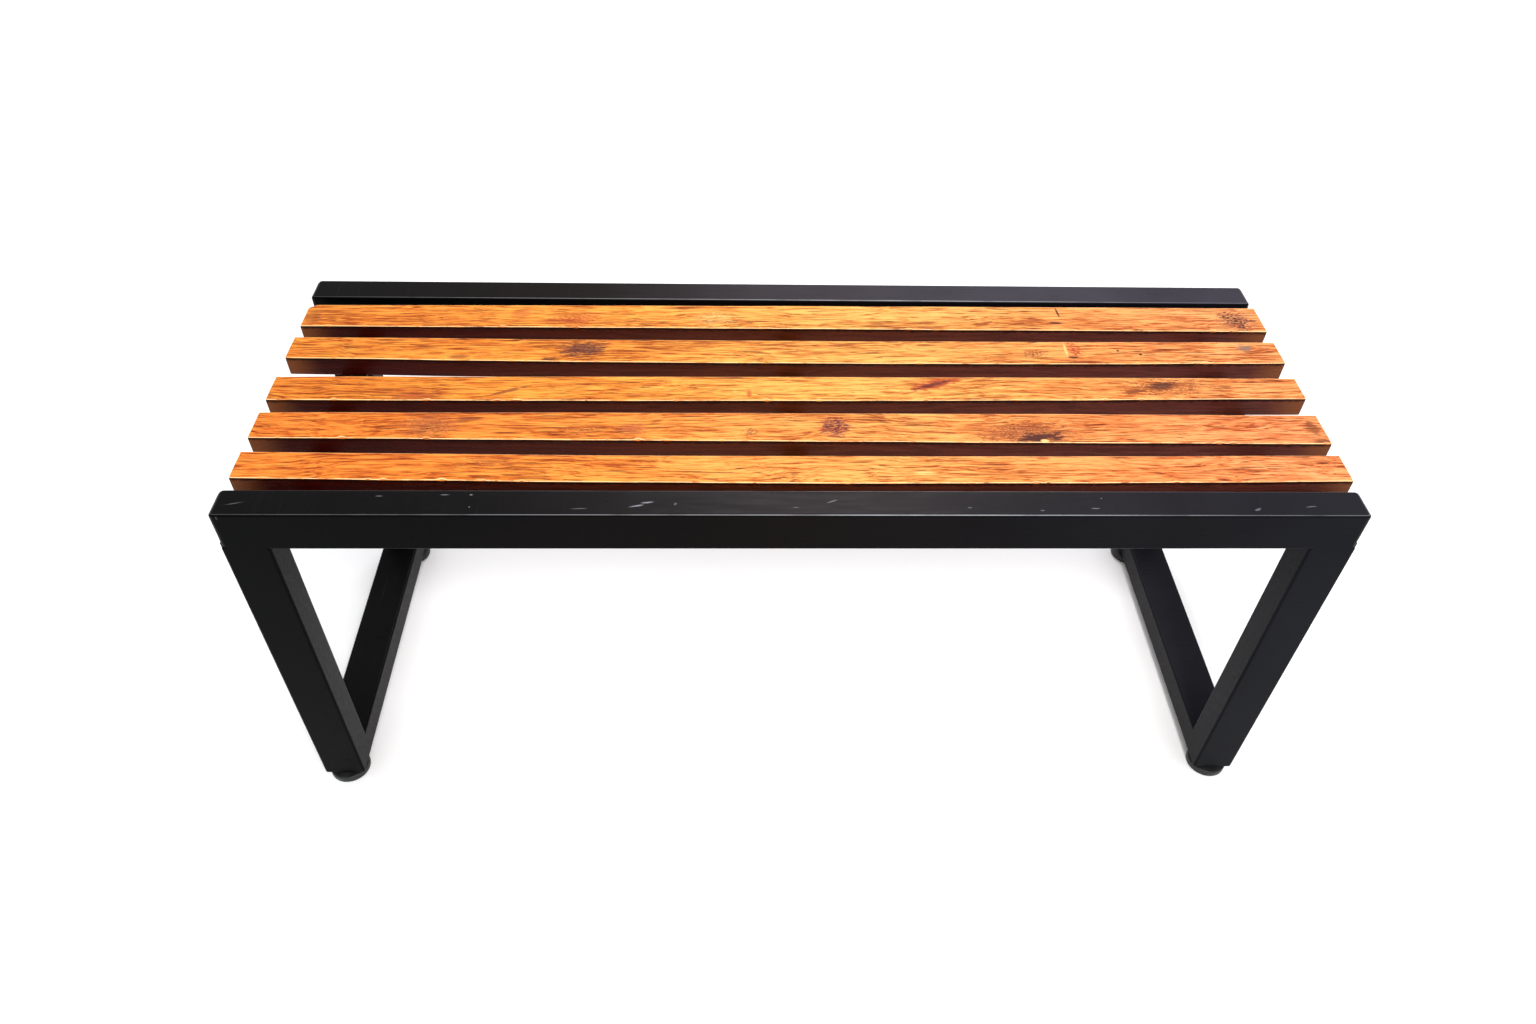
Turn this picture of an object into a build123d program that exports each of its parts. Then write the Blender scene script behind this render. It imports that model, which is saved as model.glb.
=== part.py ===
"""Backless bench: a welded frame of black rectangular tube, five hardwood slats and four levelling feet.

The frame is made of one tube size. A front and a rear rail run the full length, four legs stand under
their ends, and a floor beam joins the two legs of each end. Three steel angles between the rails bear
the slats, which are screwed on from below. Every leg is closed by a plate with a weld nut inside, and
a levelling foot screws into it: a stud that turns in a pad, which stays still on the floor.

Millimetres. The origin is the middle of the footprint, at floor level. +X runs along the bench, to the
right as seen from the front, +Y runs to the rear and +Z is up.
"""

import math
import os

from build123d import *

# Overall sizes
LENGTH = 1200.0
HEIGHT = 490.0
RAIL_GAP = 350.0

# The frame's tube, 2 by 1.5 inches, the plates that close its ends, and the fillet welds
TUBE_WIDE = 50.8
TUBE_NARROW = 38.1
TUBE_WALL = 2.0
TUBE_ROUND = 3.0
TUBE_ROUND_INSIDE = TUBE_ROUND - TUBE_WALL
CAP_THICK = 7.5
CAP_ROUND = 7.0
PLATE_THICK = 4.0
PLATE_ROUND = 2.8
WELD_LEG = 4.0
WELD_BULGE = 0.6

# Slats, from the front to the rear. They are sawn unevenly and some are bowed, so each has a width at
# its left end, middle and right end, a gap before its middle, and how far its two ends lie behind its
# middle. All are flush with the frame's right end and short of its left end.
SLAT_WIDTHS = (
    (41.0, 43.0, 42.0),
    (43.0, 48.5, 49.5),
    (42.0, 44.5, 38.0),
    (41.0, 45.0, 42.5),
    (45.0, 49.0, 51.5),
)
SLAT_GAPS = (11.0, 24.0, 22.0, 26.0, 25.0)
SLAT_SETBACKS = ((5.5, 4.0), (0.8, -1.0), (-3.0, 4.5), (3.5, 4.0), (-3.0, 1.0))
SLAT_LENGTH = 1195.0
SLAT_THICK = 25.0
SLAT_ROUND = 1.0

# Angles that bear the slats
BEARER_SPACING = 520.0
BEARER_FLANGE = 30.0
BEARER_DROP = 22.0
BEARER_THICK = 3.0
BEARER_ROOT_ROUND = 3.0
BEARER_WELD_LENGTH = 22.0
BEARER_WELD_LEG = 3.0

# Slat screws: pan heads on washers
SCREW_RADIUS = 2.0
SCREW_BITE = 17.0
SCREW_TIP = 3.0
SCREW_HEAD_RADIUS = 4.2
SCREW_HEAD_HEIGHT = 2.6
WASHER_RADIUS = 6.0
WASHER_THICK = 1.0
PILOT_CLEARANCE = 0.05
BEARER_HOLE_RADIUS = 2.4

# Levelling feet, heights measured from the floor: sole, pad, collar, then the frame. The rear ones sit
# a little inwards from the middle of their legs.
FOOT_HEIGHT = 14.0
FOOT_SETBACKS = {"front_left": 0.0, "front_right": 0.0, "rear_left": 4.0, "rear_right": 9.0}
PAD_RADIUS = 25.0
PAD_BOTTOM = 1.5
PAD_TOP = 10.0
PAD_ROUND = 2.0
SOLE_RADIUS = 24.2
SOLE_TOP = 2.5
SOLE_ROUND = 0.8
SOCKET_RADIUS = 7.5
SOCKET_TOP = 6.5
LIP_RADIUS = 4.5
STUD_RADIUS = 3.95
STUD_TOP = 42.0
THREAD_PITCH = 1.25
THREAD_DEPTH = 0.7
BUTTON_RADIUS = 7.0
BUTTON_GAP = 0.3
COLLAR_ACROSS_FLATS = 13.0
COLLAR_GAP = 0.2
NUT_BORE_RADIUS = 4.0
NUT_ACROSS_FLATS = 13.0
NUT_HEIGHT = 6.5
PLATE_HOLE_RADIUS = 4.5

# Worked out from the sizes above
RAIL_INNER_Y = RAIL_GAP / 2
RAIL_OUTER_Y = RAIL_INNER_Y + TUBE_NARROW
RAIL_Y = (RAIL_INNER_Y + RAIL_OUTER_Y) / 2
RAIL_Z = HEIGHT - TUBE_WIDE / 2
RAIL_UNDERSIDE = HEIGHT - TUBE_WIDE
LEG_X = (LENGTH - TUBE_WIDE) / 2
LEG_INNER_X = LENGTH / 2 - TUBE_WIDE
LEG_BOTTOM = FOOT_HEIGHT + PLATE_THICK
BEAM_TOP = FOOT_HEIGHT + TUBE_NARROW
SLAT_MIDDLE_X = (LENGTH - SLAT_LENGTH) / 2
SLAT_UNDERSIDE = HEIGHT - SLAT_THICK
BEARER_XS = (-BEARER_SPACING, 0.0, BEARER_SPACING)
BEARER_UNDERSIDE = SLAT_UNDERSIDE - BEARER_THICK

ENDS = {"left": -1, "right": 1}
SIDES = {"front": -1, "rear": 1}
CORNERS = {f"{side}_{end}": (ENDS[end], SIDES[side]) for side in SIDES for end in ENDS}


def foot_place(corner):
    """The axis of a corner's foot, as (x, y)."""
    end, side = CORNERS[corner]
    return end * (LEG_X - FOOT_SETBACKS[corner]), side * RAIL_Y


def slat_centre_line(index):
    """The y of a slat's middle line at its left end, middle and right end."""
    before = sum(SLAT_GAPS[: index + 1]) + sum(widths[1] for widths in SLAT_WIDTHS[:index])
    middle = -RAIL_INNER_Y + before + SLAT_WIDTHS[index][1] / 2
    left_setback, right_setback = SLAT_SETBACKS[index]
    return middle + left_setback, middle, middle + right_setback


def slat_crossings(x):
    """Where each slat's middle line crosses a line across the bench at x."""
    share = (x - SLAT_MIDDLE_X) / (SLAT_LENGTH / 2)
    crossings = []
    for index in range(len(SLAT_WIDTHS)):
        left, middle, right = slat_centre_line(index)
        slope = (right - left) / 2
        bow = (left + right) / 2 - middle
        crossings.append((x, middle + slope * share + bow * share**2))
    return crossings


def tube_section(width, height):
    """Draws the hollow tube's section in the sketch that is open."""
    RectangleRounded(width, height, TUBE_ROUND)
    RectangleRounded(
        width - 2 * TUBE_WALL, height - 2 * TUBE_WALL, TUBE_ROUND_INSIDE, mode=Mode.SUBTRACT
    )


def rail(side):
    """A rail of the seat, between its end caps."""
    length = LENGTH - 2 * CAP_THICK
    start = Plane((-length / 2, side * RAIL_Y, RAIL_Z), x_dir=(0, 1, 0), z_dir=(1, 0, 0))
    with BuildPart() as piece:
        with BuildSketch(start):
            tube_section(TUBE_NARROW, TUBE_WIDE)
        extrude(amount=length)
    return piece.part


def rail_end_cap(end, side):
    """A plate that closes a rail's end, its outer edges ground round."""
    mouth = Plane(
        (end * (LENGTH / 2 - CAP_THICK), side * RAIL_Y, RAIL_Z), x_dir=(0, 1, 0), z_dir=(end, 0, 0)
    )
    with BuildPart() as piece:
        with BuildSketch(mouth):
            RectangleRounded(TUBE_NARROW, TUBE_WIDE, TUBE_ROUND)
        extrude(amount=CAP_THICK)
        outer = piece.faces().sort_by(lambda face: abs(face.center().X))[-1]
        fillet(outer.edges(), CAP_ROUND)
    return piece.part


def leg(end, side):
    """A leg, from its foot plate up to the rail's underside."""
    with BuildPart() as piece:
        with BuildSketch(Plane((end * LEG_X, side * RAIL_Y, LEG_BOTTOM))):
            tube_section(TUBE_WIDE, TUBE_NARROW)
        extrude(amount=RAIL_UNDERSIDE - LEG_BOTTOM)
    return piece.part


def foot_plate(corner):
    """The plate that closes a leg's lower end, with a hole for the stud."""
    end, side = CORNERS[corner]
    with BuildPart() as piece:
        with BuildSketch(Plane((end * LEG_X, side * RAIL_Y, FOOT_HEIGHT))):
            RectangleRounded(TUBE_WIDE, TUBE_NARROW, TUBE_ROUND)
            with Locations((-end * FOOT_SETBACKS[corner], 0)):
                Circle(PLATE_HOLE_RADIUS, mode=Mode.SUBTRACT)
        extrude(amount=PLATE_THICK)
        underside = piece.faces().sort_by(Axis.Z)[0]
        fillet(underside.outer_wire().edges(), PLATE_ROUND)
    return piece.part


def weld_nut(corner):
    """The nut on the foot plate, inside the leg."""
    with BuildPart() as piece:
        with BuildSketch(Plane((*foot_place(corner), LEG_BOTTOM))):
            RegularPolygon(NUT_ACROSS_FLATS / 2, 6, major_radius=False)
            Circle(NUT_BORE_RADIUS, mode=Mode.SUBTRACT)
        extrude(amount=NUT_HEIGHT)
    return piece.part


def floor_beam(end):
    """The beam between the two legs of one end, flush with their lower ends."""
    start = Plane(
        (end * LEG_X, -RAIL_INNER_Y, FOOT_HEIGHT + TUBE_NARROW / 2), x_dir=(1, 0, 0), z_dir=(0, 1, 0)
    )
    with BuildPart() as piece:
        with BuildSketch(start):
            tube_section(TUBE_WIDE, TUBE_NARROW)
        extrude(amount=2 * RAIL_INNER_Y)
    return piece.part


def slat_bearer(x):
    """A steel angle between the rails: a flange under the slats, with screw holes, and a web below."""
    flange_edge = x - BEARER_FLANGE / 2
    start = Plane((flange_edge, -RAIL_INNER_Y, SLAT_UNDERSIDE), x_dir=(1, 0, 0), z_dir=(0, 1, 0))
    with BuildPart() as piece:
        with BuildSketch(start):
            with BuildLine():
                Polyline(
                    (0, 0),
                    (BEARER_FLANGE, 0),
                    (BEARER_FLANGE, BEARER_THICK),
                    (BEARER_THICK, BEARER_THICK),
                    (BEARER_THICK, BEARER_DROP),
                    (0, BEARER_DROP),
                    close=True,
                )
            make_face()
        extrude(amount=2 * RAIL_INNER_Y)
        root = piece.edges().filter_by(Axis.Y).sort_by_distance(
            (flange_edge + BEARER_THICK, 0, BEARER_UNDERSIDE)
        )[0]
        fillet(root, BEARER_ROOT_ROUND)
        with Locations(*[Plane((*place, SLAT_UNDERSIDE)) for place in slat_crossings(x)]):
            Hole(BEARER_HOLE_RADIUS, depth=BEARER_THICK)
    return piece.part


def slat(index):
    """A slat with bowed front and rear edges, and a pilot hole in its underside above each bearer."""
    xs = (SLAT_MIDDLE_X - SLAT_LENGTH / 2, SLAT_MIDDLE_X, SLAT_MIDDLE_X + SLAT_LENGTH / 2)
    centres = slat_centre_line(index)
    front = [(x, y - width / 2) for x, y, width in zip(xs, centres, SLAT_WIDTHS[index])]
    rear = [(x, y + width / 2) for x, y, width in zip(xs, centres, SLAT_WIDTHS[index])]
    pilots = [slat_crossings(x)[index] for x in BEARER_XS]
    with BuildPart() as piece:
        with BuildSketch(Plane.XY.offset(SLAT_UNDERSIDE)):
            with BuildLine():
                ThreePointArc(*front)
                Line(front[-1], rear[-1])
                ThreePointArc(*reversed(rear))
                Line(rear[0], front[0])
            make_face()
        extrude(amount=SLAT_THICK)
        fillet(piece.edges(), SLAT_ROUND)
        with Locations(*[Plane((*place, SLAT_UNDERSIDE), z_dir=(0, 0, -1)) for place in pilots]):
            Hole(SCREW_RADIUS + PILOT_CLEARANCE, depth=SCREW_BITE + SCREW_TIP)
    return piece.part


def slat_screws():
    """One screw with its washer at each crossing of a slat and a bearer."""
    places = [place for x in BEARER_XS for place in slat_crossings(x)]
    washer_bottom = BEARER_UNDERSIDE - WASHER_THICK
    shank_top = SLAT_UNDERSIDE + SCREW_BITE
    with BuildPart() as piece:
        with BuildSketch(Plane.XY.offset(washer_bottom - SCREW_HEAD_HEIGHT)):
            with Locations(*places):
                Circle(SCREW_HEAD_RADIUS)
        extrude(amount=SCREW_HEAD_HEIGHT)
        heads = piece.faces().filter_by(Axis.Z).group_by(Axis.Z)[0]
        fillet(heads.edges(), SCREW_HEAD_HEIGHT / 2)
        with BuildSketch(Plane.XY.offset(washer_bottom)):
            with Locations(*places):
                Circle(WASHER_RADIUS)
        extrude(amount=WASHER_THICK)
        with BuildSketch(Plane.XY.offset(BEARER_UNDERSIDE)):
            with Locations(*places):
                Circle(SCREW_RADIUS)
        extrude(amount=shank_top - BEARER_UNDERSIDE)
        tips = piece.faces().filter_by(Axis.Z).group_by(Axis.Z)[-1]
        chamfer(tips.edges(), SCREW_TIP, SCREW_RADIUS * 0.8)
    return piece.part


def bead_section(corner_x, corner_y, leg_x, leg_y):
    """Draws a fillet weld's section in the open sketch: two legs from a corner and a bulging face."""
    spread = 0.5 + WELD_BULGE / math.hypot(leg_x, leg_y)
    with BuildLine() as outline:
        Line((corner_x, corner_y + leg_y), (corner_x, corner_y))
        Line((corner_x, corner_y), (corner_x + leg_x, corner_y))
        ThreePointArc(
            (corner_x + leg_x, corner_y),
            (corner_x + leg_x * spread, corner_y + leg_y * spread),
            (corner_x, corner_y + leg_y),
        )
    make_face(outline.edges())


def groove_section(radius):
    """Draws a ground groove weld's section in the open sketch: the space outside a rounded corner."""
    middle = radius * (1 - math.sqrt(0.5))
    with BuildLine() as outline:
        Line((0, radius), (0, 0))
        Line((0, 0), (radius, 0))
        ThreePointArc((radius, 0), (middle, middle), (0, radius))
    make_face(outline.edges())


def groove_plane(corner, first_leg, second_leg):
    """The section plane of a groove weld, from its outer corner and the directions of its two legs."""
    return Plane(corner, x_dir=first_leg, z_dir=Vector(first_leg).cross(Vector(second_leg)))


def leg_rail_flush_welds():
    """Welds ground flush in the grooves that the rails' rounded lower corners leave above the legs."""
    up = (0, 0, 1)
    with BuildPart() as piece:
        for end, side in CORNERS.values():
            for face_y, inwards in ((side * RAIL_OUTER_Y, -side), (side * RAIL_INNER_Y, side)):
                corner = (end * LEG_X, face_y, RAIL_UNDERSIDE)
                with BuildSketch(groove_plane(corner, up, (0, inwards, 0))):
                    groove_section(TUBE_ROUND)
                extrude(amount=TUBE_WIDE / 2 - TUBE_ROUND, both=True)
            corner = (end * LENGTH / 2, side * RAIL_Y, RAIL_UNDERSIDE)
            with BuildSketch(groove_plane(corner, up, (-end, 0, 0))):
                groove_section(CAP_ROUND)
            extrude(amount=TUBE_NARROW / 2 - TUBE_ROUND, both=True)
    return piece.part


def beam_leg_flush_welds():
    """Welds ground flush in the grooves that the legs' rounded corners leave beside the floor beams."""
    middle_z = FOOT_HEIGHT + TUBE_NARROW / 2
    with BuildPart() as piece:
        for end, side in CORNERS.values():
            for face_x, inwards in ((end * LENGTH / 2, -end), (end * LEG_INNER_X, end)):
                corner = (face_x, side * RAIL_INNER_Y, middle_z)
                with BuildSketch(groove_plane(corner, (0, side, 0), (inwards, 0, 0))):
                    groove_section(TUBE_ROUND)
                extrude(amount=TUBE_NARROW / 2 - TUBE_ROUND, both=True)
    return piece.part


def leg_rail_welds():
    """Fillet welds in the inner corners between the legs and the rails' undersides."""
    run = TUBE_NARROW - 2 * TUBE_ROUND
    with BuildPart() as piece:
        for end, side in CORNERS.values():
            with BuildSketch(Plane((0, side * RAIL_Y, 0), x_dir=(1, 0, 0), z_dir=(0, -1, 0))):
                bead_section(end * LEG_INNER_X, RAIL_UNDERSIDE, -end * WELD_LEG, -WELD_LEG)
            extrude(amount=run / 2, both=True)
    return piece.part


def beam_leg_welds():
    """Fillet welds where the floor beams' upper faces meet the legs."""
    run = TUBE_WIDE - 2 * TUBE_ROUND
    with BuildPart() as piece:
        for end, side in CORNERS.values():
            with BuildSketch(Plane((end * LEG_X, 0, 0), x_dir=(0, 1, 0), z_dir=(1, 0, 0))):
                bead_section(side * RAIL_INNER_Y, BEAM_TOP, -side * WELD_LEG, WELD_LEG)
            extrude(amount=run / 2, both=True)
    return piece.part


def bearer_welds():
    """Fillet welds under the bearers' flanges, at both rails."""
    shift = (BEARER_THICK + BEARER_ROOT_ROUND) / 2
    with BuildPart() as piece:
        for x in BEARER_XS:
            for side in SIDES.values():
                with BuildSketch(Plane((x + shift, 0, 0), x_dir=(0, 1, 0), z_dir=(1, 0, 0))):
                    bead_section(
                        side * RAIL_INNER_Y, BEARER_UNDERSIDE, -side * BEARER_WELD_LEG, -BEARER_WELD_LEG
                    )
                extrude(amount=BEARER_WELD_LENGTH / 2, both=True)
    return piece.part


def foot_pad(corner):
    """The hard pad of a foot: recessed for its sole below, with a socket for the stud's button."""
    with BuildPart() as piece:
        with BuildSketch(Plane((*foot_place(corner), PAD_BOTTOM))):
            Circle(PAD_RADIUS)
        extrude(amount=PAD_TOP - PAD_BOTTOM)
        fillet(piece.edges().group_by(Axis.Z)[-1], PAD_ROUND)
        with Locations(Plane((*foot_place(corner), PAD_BOTTOM), z_dir=(0, 0, -1))):
            Hole(LIP_RADIUS, depth=PAD_TOP - PAD_BOTTOM)
            Hole(SOCKET_RADIUS, depth=SOCKET_TOP - PAD_BOTTOM)
            Hole(SOLE_RADIUS, depth=SOLE_TOP - PAD_BOTTOM)
    return piece.part


def foot_sole(corner):
    """The rubber sole in the pad's recess, which stands on the floor."""
    with BuildPart() as piece:
        with BuildSketch(Plane((*foot_place(corner), 0))):
            Circle(SOLE_RADIUS)
        extrude(amount=SOLE_TOP)
        fillet(piece.edges().group_by(Axis.Z)[0], SOLE_ROUND)
    return piece.part


def foot_stud(corner):
    """The stud of a foot: a button that turns in the pad's socket, a spanner collar and the thread.

    The thread is drawn as rings of its pitch and depth.
    """
    button_bottom = SOLE_TOP + BUTTON_GAP
    button_top = SOCKET_TOP - BUTTON_GAP
    collar_bottom = PAD_TOP + COLLAR_GAP
    collar_top = FOOT_HEIGHT - COLLAR_GAP
    root_radius = STUD_RADIUS - THREAD_DEPTH
    rings = int((STUD_TOP - collar_top) / THREAD_PITCH) - 1
    outline = [(0, button_bottom), (BUTTON_RADIUS, button_bottom), (BUTTON_RADIUS, button_top)]
    outline += [(STUD_RADIUS, button_top), (STUD_RADIUS, collar_top)]
    for ring in range(rings):
        ring_bottom = collar_top + ring * THREAD_PITCH
        outline.append((root_radius, ring_bottom + THREAD_PITCH / 2))
        outline.append((STUD_RADIUS, ring_bottom + THREAD_PITCH))
    outline += [(root_radius, STUD_TOP), (0, STUD_TOP)]
    axis_point = foot_place(corner)
    with BuildPart() as piece:
        with BuildSketch(Plane((*axis_point, 0), x_dir=(1, 0, 0), z_dir=(0, -1, 0))):
            with BuildLine():
                Polyline(*outline, close=True)
            make_face()
        revolve(axis=Axis((*axis_point, 0), (0, 0, 1)))
        with BuildSketch(Plane((*axis_point, collar_bottom))):
            RegularPolygon(COLLAR_ACROSS_FLATS / 2, 6, major_radius=False)
        extrude(amount=collar_top - collar_bottom)
    return piece.part


def all_parts():
    """Every piece of the bench by its name."""
    parts = {}
    for side_name, side in SIDES.items():
        parts[f"{side_name}_rail"] = rail(side)
    for corner, (end, side) in CORNERS.items():
        parts[f"{corner}_end_cap"] = rail_end_cap(end, side)
        parts[f"{corner}_leg"] = leg(end, side)
        parts[f"{corner}_foot_plate"] = foot_plate(corner)
        parts[f"{corner}_weld_nut"] = weld_nut(corner)
        parts[f"{corner}_foot_pad"] = foot_pad(corner)
        parts[f"{corner}_foot_sole"] = foot_sole(corner)
        parts[f"{corner}_foot_stud"] = foot_stud(corner)
    for end_name, end in ENDS.items():
        parts[f"{end_name}_floor_beam"] = floor_beam(end)
    for name, x in zip(("left", "middle", "right"), BEARER_XS):
        parts[f"{name}_slat_bearer"] = slat_bearer(x)
    for index in range(len(SLAT_WIDTHS)):
        parts[f"slat_{index + 1}"] = slat(index)
    parts["slat_screws"] = slat_screws()
    parts["leg_rail_welds"] = leg_rail_welds()
    parts["leg_rail_flush_welds"] = leg_rail_flush_welds()
    parts["beam_leg_welds"] = beam_leg_welds()
    parts["beam_leg_flush_welds"] = beam_leg_flush_welds()
    parts["bearer_welds"] = bearer_welds()
    return parts


os.makedirs("parts", exist_ok=True)
for name, part in all_parts().items():
    part.label = name
    export_step(part, f"parts/{name}.step")
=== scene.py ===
"""Looks of the backless bench: wood slats, weld beads and slat screws, in detail, around the CAD frame.

Metres, in the row's frame: +X along the bench, +Y to the rear, +Z up, the floor at z = 0.
"""

import math
import random

import bmesh
import bpy
import numpy as np
from mathutils import Matrix, Vector, noise


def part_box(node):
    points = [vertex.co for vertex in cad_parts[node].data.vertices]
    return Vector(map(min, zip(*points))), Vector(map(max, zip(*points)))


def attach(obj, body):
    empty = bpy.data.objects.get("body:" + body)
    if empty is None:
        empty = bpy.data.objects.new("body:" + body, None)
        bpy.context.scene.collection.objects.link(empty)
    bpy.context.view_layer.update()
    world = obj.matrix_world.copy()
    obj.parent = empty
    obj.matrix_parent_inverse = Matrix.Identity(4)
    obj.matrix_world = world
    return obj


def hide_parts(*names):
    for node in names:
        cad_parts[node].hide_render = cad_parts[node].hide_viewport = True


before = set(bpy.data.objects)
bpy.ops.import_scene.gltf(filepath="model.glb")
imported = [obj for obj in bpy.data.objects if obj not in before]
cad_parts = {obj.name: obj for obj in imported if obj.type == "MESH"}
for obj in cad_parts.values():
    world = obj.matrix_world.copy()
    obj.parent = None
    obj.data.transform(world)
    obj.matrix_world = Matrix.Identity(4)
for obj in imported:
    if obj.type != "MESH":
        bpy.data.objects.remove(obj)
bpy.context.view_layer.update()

# Camera: looking down at the front of the bench, from above and a little to the left
CAMERA_PLACE = Vector((-0.070, -1.016, 1.291))
CAMERA_YAW = math.radians(2.64)
CAMERA_PITCH = math.radians(44.71)
CAMERA_ROLL = math.radians(1.92)
CAMERA_LENS = 26.0
CAMERA_SENSOR = 36.0

# Stage: floor and lights
FLOOR_HALF = 12.0
SUN_STRENGTH = 0.7
SUN_SPREAD = math.radians(60)
SUN_DIRECTION = (-0.15, 0.75, -0.95)
SEAT_MIDDLE = (0.0, 0.0, 0.45)
LAMP_PLACE = (0.42, -1.75, 2.35)
LAMP_SIZE = (0.34, 0.34)
LAMP_POWER = 42.0
LAMP_COLOUR = (1.0, 0.99, 0.97)
SOFTBOX_PLACE = (0.25, 1.80, 2.40)
SOFTBOX_TARGET = (0.05, 0.0, 0.45)
SOFTBOX_SIZE = (1.2, 0.5)
SOFTBOX_POWER = 27.0
SOFTBOX_COLOUR = (1.0, 0.97, 1.0)
SURROUND_COLOUR = (0.96, 0.98, 1.0, 1.0)
SURROUND_STRENGTH = 0.86

# Slats: mesh spacing, eased edges and unevenness
SLAT_STEP = 0.002
SLAT_CAD_ROUND = 0.001
SLAT_ARRIS = 0.0012
SLAT_ARRIS_STEPS = 4
SLAT_TOP_STEPS = 8
SLAT_SIDE_STEPS = 4
SLAT_END_ROUND = 0.0016
SLAT_END_STEPS = 4
EDGE_WAVE = 0.0006
EDGE_RAGGED = 0.0005
TOP_WAVE = 0.00025
CHIPS_PER_SLAT = 16
CHIP_LENGTH = (0.003, 0.012)
CHIP_DEPTH = (0.0004, 0.0011)
CHIP_REACH = 0.003
CLIPPED_SLAT = "slat_5"
CLIP_LENGTH = 0.009
CLIP_WIDTH = 0.007

# Weld beads
BEAD_STEP = 0.0004
BEAD_ARC_STEPS = 8
BEAD_LEG = 0.004
BEAD_BULGE = 0.0006
BEAD_MARGIN = 0.003
BEAD_RIPPLE_PITCH = 0.0019
BEAD_RIPPLE_HEIGHT = 0.00028
BEAD_RIPPLE_LAG = 0.45
BEAD_TAPER = 0.003
BEAD_END_SIZE = 0.35
BEARER_BEAD_LEG = 0.003
BEARER_BEAD_LENGTH = 0.022
BEARER_THICK = 0.003

# Slat screws, seen from below: a pan head with a cross recess, a washer and the shank
SCREW_SIDES = 40
SCREW_HEAD_RADIUS = 0.0042
SCREW_HEAD_HEIGHT = 0.0026
SCREW_CROWN_ANGLES = (20, 35, 50, 65, 80, 90)
SCREW_SHANK_RADIUS = 0.002
WASHER_RADIUS = 0.006
WASHER_THICK = 0.001
WASHER_EDGE = 0.0002
RECESS_HALF_LENGTH = 0.0023
RECESS_HALF_WIDTH = 0.0006
RECESS_DEPTH = 0.0014

ENDS = {"left": -1, "right": 1}
SIDES = {"front": -1, "rear": 1}
SLATS = [f"slat_{number}" for number in range(1, 6)]
BEARERS = [f"{place}_slat_bearer" for place in ("left", "middle", "right")]
SLAT_TOP_Z = 0.490
BENCH_HALF_LENGTH = 0.600
SMOOTH_ANGLE = math.radians(40)

# Wood colours, as linear RGB
LIGHT_WOOD = (0.88, 0.45, 0.135)
MIDDLE_WOOD = (0.72, 0.27, 0.062)
DEEP_WOOD = (0.42, 0.105, 0.021)
DARK_WOOD = (0.13, 0.026, 0.007)
STROKE_WOOD = (0.075, 0.016, 0.006)
# Painted highlight along the slats' eased top edges
ARRIS_HIGHLIGHT = (0.98, 0.68, 0.33)
UNDER_SHADE = (0.42, 0.36, 0.34)
SIDE_STREAK = (0.65, 0.60, 0.60)
# Painted light near the ends of the slats' side faces
SIDE_END_LIT = (0.170, 0.050, 0.013)
SIDE_SHADOW = (0.006, 0.0012, 0.0006)
END_DARK = (0.085, 0.022, 0.008)
END_LIGHT = (0.34, 0.115, 0.036)
WHITE = (1.0, 1.0, 1.0)

# Colours of the marks on the slats
KNOT = (0.065, 0.017, 0.014)
PURPLE = (0.10, 0.025, 0.030)
RED = (0.40, 0.050, 0.016)
REDDISH = (0.46, 0.115, 0.040)
BROWN = (0.22, 0.055, 0.016)
GREY = (0.20, 0.135, 0.105)
PALE = (0.95, 0.56, 0.19)

# Tints along the bench: (share of the length from the left, colour)
TOP_TINTS = [(0.08, (0.86, 0.60, 0.27)), (0.33, (0.95, 0.76, 0.38)), (0.58, (0.95, 0.98, 0.78)),
             (0.81, (0.95, 0.78, 0.74)), (0.95, (0.97, 0.82, 0.95))]
# Slat side faces: painted shade, darkest at the left end
SIDE_SHADE_TINTS = [(0.10, (0.036, 0.0020, 0.0004)), (0.50, (0.080, 0.0145, 0.0040)),
              (0.88, (0.098, 0.0220, 0.0150))]
# Powder coat on faces that do not point up: painted shade, darker towards the left end
COAT_SHADE_TINTS = [(0.02, (0.0003, 0.0004, 0.0005)), (0.50, (0.0040, 0.0024, 0.0022)),
              (0.98, (0.0048, 0.0052, 0.0074))]
# Powder coat on faces that point up: painted reflection, brightest from the middle to the right
TOP_REFLECTION_TINTS = [(0.02, (0.0040, 0.0040, 0.0040)), (0.30, (0.0080, 0.0070, 0.0070)),
            (0.50, (0.019, 0.015, 0.015)), (0.72, (0.018, 0.0155, 0.018)),
            (0.95, (0.0145, 0.0145, 0.0185))]
# The rear rail's top: a stronger painted reflection
REAR_TOP_REFLECTION_TINTS = [(0.02, (0.0040, 0.0035, 0.0035)), (0.30, (0.010, 0.0070, 0.0060)),
                 (0.50, (0.040, 0.034, 0.038)), (0.72, (0.054, 0.049, 0.060)),
                 (0.95, (0.042, 0.038, 0.050))]
# Strength of the painted highlight on the rails' upper arrises, brightest right of the middle
COAT_HIGHLIGHT_ALONG = [(0.02, (0.10, 0.10, 0.10)), (0.45, (0.55, 0.55, 0.55)), (0.60, WHITE),
                (0.90, (0.25, 0.25, 0.25))]
SLAT_TINTS = {"slat_1": (1.0, 0.90, 0.97), "slat_2": (1.0, 0.89, 0.97), "slat_3": (1.0, 1.0, 0.97),
              "slat_4": (1.0, 1.0, 1.0), "slat_5": (1.0, 1.02, 1.05)}

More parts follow.
